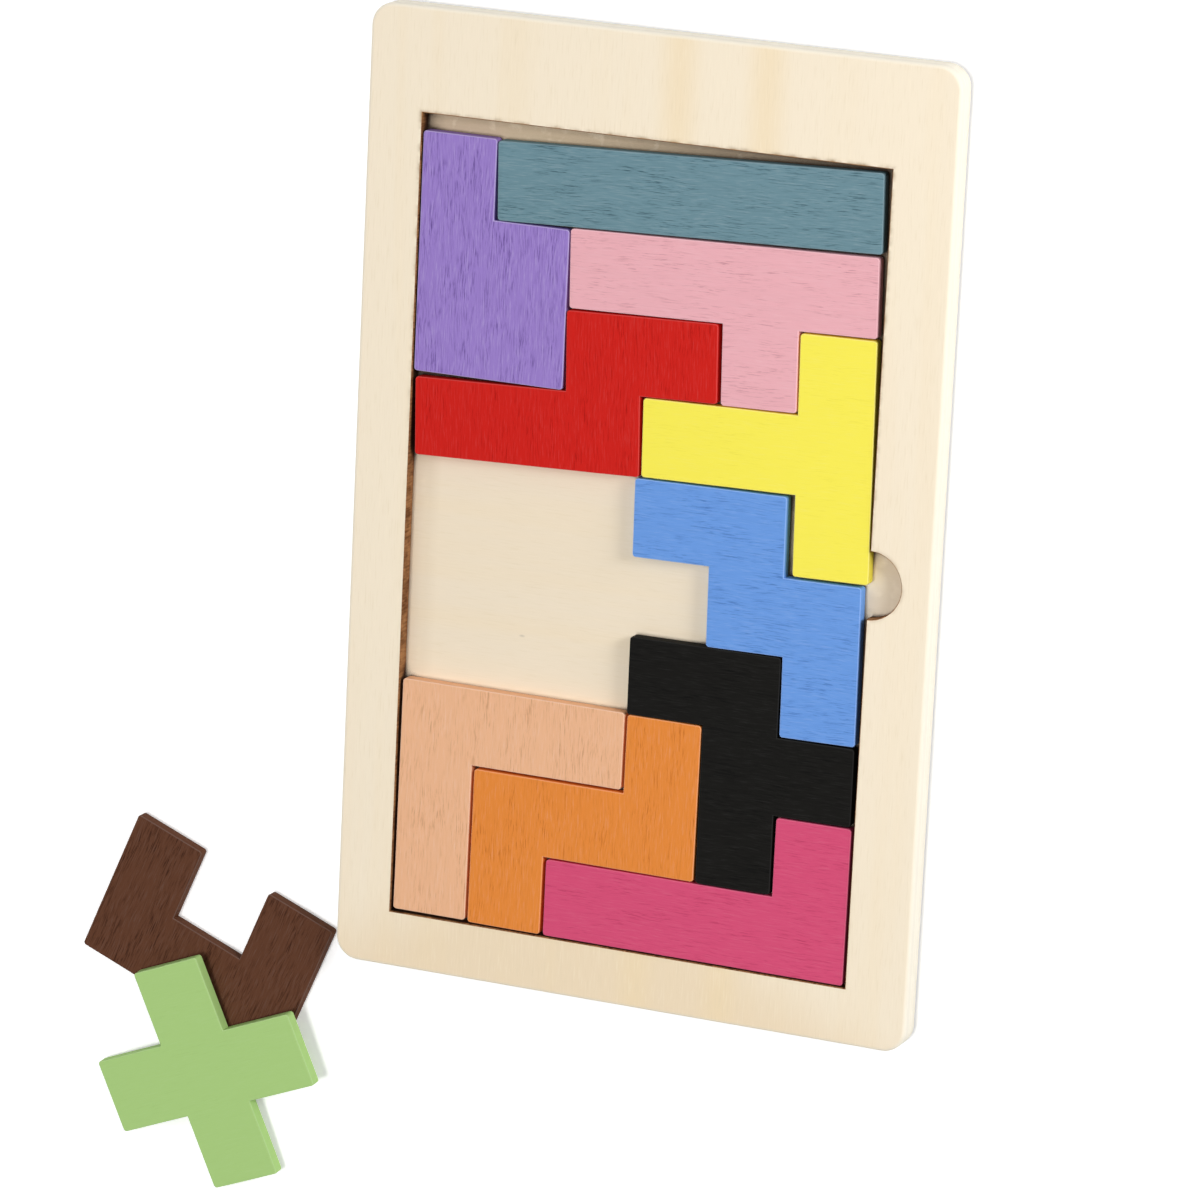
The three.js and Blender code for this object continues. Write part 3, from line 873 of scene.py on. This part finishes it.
class PUZZLE_OT_base(bpy.types.Operator):
    """Build the tray's back layer, which is the floor of the pocket"""

    bl_idname = "puzzle.base"
    bl_label = "Build Base"

    def execute(self, context):
        look = context.scene.puzzle_tray
        place, (outline,), thickness = flat_outlines("base_panel")
        edge, groove = look.edge_radius, look.glue_line
        under = rounded(edge, thickness, TRAY_STEPS, 0) + [Level(edge + TRAY_SHOULDER, thickness, 0, 0)]
        levels = mirrored(under, thickness)
        levels += [Level(0, thickness - groove, 0, 1), Level(groove, thickness, 0, 1)]
        levels.append(Level(groove + TRAY_SHOULDER, thickness, 0, 0))

        # Painted shade on the floor, which fades from the foot of the burnt wall
        above, (_, pocket), _ = flat_outlines("tray_frame")
        across = place.inverted() @ above
        pocket = [(across @ point.to_3d()).to_2d() for point in pocket]
        painted_shade = [Level(-look.wall_foot_shade_reach, thickness, 0, 0),
                 Level(-look.wall_foot_shade_reach * WALL_FOOT_SHADE_CORE, thickness, look.wall_foot_shade, 0),
                 Level(0, thickness, look.wall_foot_shade, 0)]

        bm = new_shape()
        low, high = sweep(bm, paced(outline, TRAY_PACE), levels)
        floor, foot = sweep(bm, pocket, painted_shade)
        cap(bm, low)
        cap(bm, high, foot)
        cap(bm, floor)
        wood = sanded_plywood("Sanded birch plywood, back", look.base_colour, look.base_colour,
                              "X", look, 11.0, thickness, smoke_and_shade_from=0.10, knot=look.knot_place)
        add_piece("base_panel_wood", bm, place, "base_panel", wood)
        return {"FINISHED"}


def add_block(node, look):
    """A painted block with rounded rims, cut by hand along the CAD node's outline."""
    place, (outline,), thickness = flat_outlines(node)
    seed = float(list(GRAIN).index(node))
    edge = look.edge_radius
    upper = rounded(edge, thickness, BLOCK_STEPS, 1) + [Level(edge + BLOCK_SHOULDER, thickness, 0, 0)]
    bm = new_shape()
    cut = hand_cut(paced(outline, BLOCK_PACE), look.waver, look.waver_length, look.coat, seed)
    low, high = sweep(bm, cut, mirrored(upper, thickness) + upper)
    cap(bm, low)
    cap(bm, high)
    colour = getattr(look, node.split("_")[0])
    add_piece(node + "_painted", bm, place, node, thin_paint(node, colour, look))


class PUZZLE_OT_seated_blocks(bpy.types.Operator):
    """Build the painted blocks that lie in the pocket"""

    bl_idname = "puzzle.seated_blocks"
    bl_label = "Build Seated Blocks"

    def execute(self, context):
        for node in SEATED:
            add_block(node, context.scene.puzzle_blocks)
        return {"FINISHED"}


class PUZZLE_OT_loose_blocks(bpy.types.Operator):
    """Build the blocks that are taken out"""

    bl_idname = "puzzle.loose_blocks"
    bl_label = "Build Loose Blocks"

    def execute(self, context):
        for node in LOOSE:
            add_block(node, context.scene.puzzle_blocks)
        return {"FINISHED"}


class PUZZLE_OT_studio(bpy.types.Operator):
    """Add the floor, the light and the camera"""

    bl_idname = "puzzle.studio"
    bl_label = "Add Studio"

    def execute(self, context):
        scene, look = context.scene, context.scene.puzzle_studio
        scene.view_settings.view_transform = "Standard"
        self.add_floor(scene, look)
        self.add_light(scene, look)
        self.add_camera(scene, look)
        return {"FINISHED"}

    def seen_straight(self, tree):
        """1 for what the camera sees, also in a mirror or through glass, and 0 for other light."""
        path = add_node(tree, "LightPath")
        direct = add_node(tree, "Math", {0: path.outputs["Is Camera Ray"],
                                         1: path.outputs["Is Glossy Ray"]}, operation="MAXIMUM")
        return add_node(tree, "Math", {0: direct.outputs[0], 1: path.outputs["Is Transmission Ray"]},
                        operation="MAXIMUM").outputs[0]

    def add_floor(self, scene, look):
        """Matt white paper: it has no gloss, and keeps a soft shadow of the object."""
        bm = bmesh.new()
        bmesh.ops.create_grid(bm, x_segments=1, y_segments=1, size=look.floor_size / 2)
        mesh = bpy.data.meshes.new("studio_floor")
        bm.to_mesh(mesh)
        bm.free()
        material, tree, output = new_material("White paper sweep")
        paper = add_node(tree, "BsdfDiffuse", {"Color": rgba(look.floor_colour)})
        glow = add_node(tree, "Math", {0: self.seen_straight(tree), 1: look.floor_glow},
                        operation="MULTIPLY")
        white = add_node(tree, "Emission", {"Color": rgba(look.floor_colour),
                                            "Strength": glow.outputs[0]})
        both = add_node(tree, "AddShader", {0: paper.outputs[0], 1: white.outputs[0]})
        tree.links.new(both.outputs[0], output.inputs["Surface"])
        mesh.materials.append(material)
        floor = bpy.data.objects.new("studio_floor", mesh)
        floor.location.z = CAD_BOX[0].z - FLOOR_GAP
        scene.collection.objects.link(floor)

    def add_light(self, scene, look):
        """A white sky, three far lamps with soft edges, and a near key lamp."""
        world = bpy.data.worlds.new("White studio")
        scene.world = world
        world.use_nodes = True
        tree = world.node_tree
        tree.nodes.clear()
        strength = add_node(tree, "MapRange", {"Value": self.seen_straight(tree), "To Min": look.sky,
                                               "To Max": 1.0})
        sky = add_node(tree, "Background", {"Color": (1, 1, 1, 1), "Strength": strength.outputs[0]})
        output = add_node(tree, "OutputWorld")
        tree.links.new(sky.outputs[0], output.inputs["Surface"])

        for name in ("overhead", "window", "fill"):
            share, softness, azimuth, height = (
                getattr(look, name + part) for part in ("", "_softness", "_azimuth", "_height"))
            light = bpy.data.lights.new(name + "_lamp", "SUN")
            light.energy = share * math.pi / math.sin(height)
            light.angle = softness
            self.hang(scene, light, azimuth, height, look.key_distance)

        key = bpy.data.lights.new("key_lamp", "AREA")
        key.shape = "DISK"
        key.size = look.key_size
        key.energy = look.key * math.pi**2 * look.key_distance**2 / math.sin(look.key_height)
        self.hang(scene, key, look.key_azimuth, look.key_height, look.key_distance)

    def hang(self, scene, light, azimuth, height, distance):
        """Hangs a lamp in its direction from the tray, facing it."""
        level = math.cos(height)
        towards = Vector((level * math.cos(azimuth), level * math.sin(azimuth), math.sin(height)))
        lamp = bpy.data.objects.new(light.name, light)
        lamp.location = towards * distance
        lamp.rotation_euler = towards.to_track_quat("Z", "Y").to_euler()
        scene.collection.objects.link(lamp)

    def add_camera(self, scene, look):
        """A long lens, which sees the tray as the photograph shows it."""
        lens = bpy.data.cameras.new("photo_camera")
        lens.lens = look.lens
        lens.sensor_width = 36
        camera = bpy.data.objects.new("photo_camera", lens)
        back = (Vector(look.camera_place) - Vector(look.camera_target)).normalized()
        right = Vector((0, 1, 0)).cross(back).normalized()
        upright = Matrix((right, back.cross(right), back)).transposed()
        turned = upright @ Matrix.Rotation(look.camera_roll, 3, "Z")
        camera.matrix_world = Matrix.LocRotScale(Vector(look.camera_place), turned, None)
        scene.collection.objects.link(camera)
        scene.camera = camera


class PUZZLE_PT_panel(bpy.types.Panel):
    """The puzzle's sizes and colours, and the steps that build it"""

    bl_idname = "PUZZLE_PT_panel"
    bl_label = "Wooden Shape Puzzle"
    bl_space_type = "VIEW_3D"
    bl_region_type = "UI"
    bl_category = "Puzzle"

    def draw(self, context):
        scene = context.scene
        for look in (scene.puzzle_tray, scene.puzzle_blocks, scene.puzzle_studio):
            box = self.layout.box()
            for name in look.__annotations__:
                box.prop(look, name)
        for step in STEPS:
            self.layout.operator(step.bl_idname)


STEPS = (PUZZLE_OT_frame, PUZZLE_OT_base, PUZZLE_OT_seated_blocks, PUZZLE_OT_loose_blocks,
         PUZZLE_OT_studio)
CLASSES = (TrayLook, BlockLook, StudioLook, *STEPS, PUZZLE_PT_panel)


def register():
    for cls in CLASSES:
        bpy.utils.register_class(cls)
    bpy.types.Scene.puzzle_tray = PointerProperty(type=TrayLook)
    bpy.types.Scene.puzzle_blocks = PointerProperty(type=BlockLook)
    bpy.types.Scene.puzzle_studio = PointerProperty(type=StudioLook)


def unregister():
    del bpy.types.Scene.puzzle_studio
    del bpy.types.Scene.puzzle_blocks
    del bpy.types.Scene.puzzle_tray
    for cls in reversed(CLASSES):
        bpy.utils.unregister_class(cls)


def main():
    register()
    bpy.ops.puzzle.frame()
    bpy.ops.puzzle.base()
    bpy.ops.puzzle.seated_blocks()
    bpy.ops.puzzle.loose_blocks()
    bpy.ops.puzzle.studio()


if __name__ == "__main__":
    main()
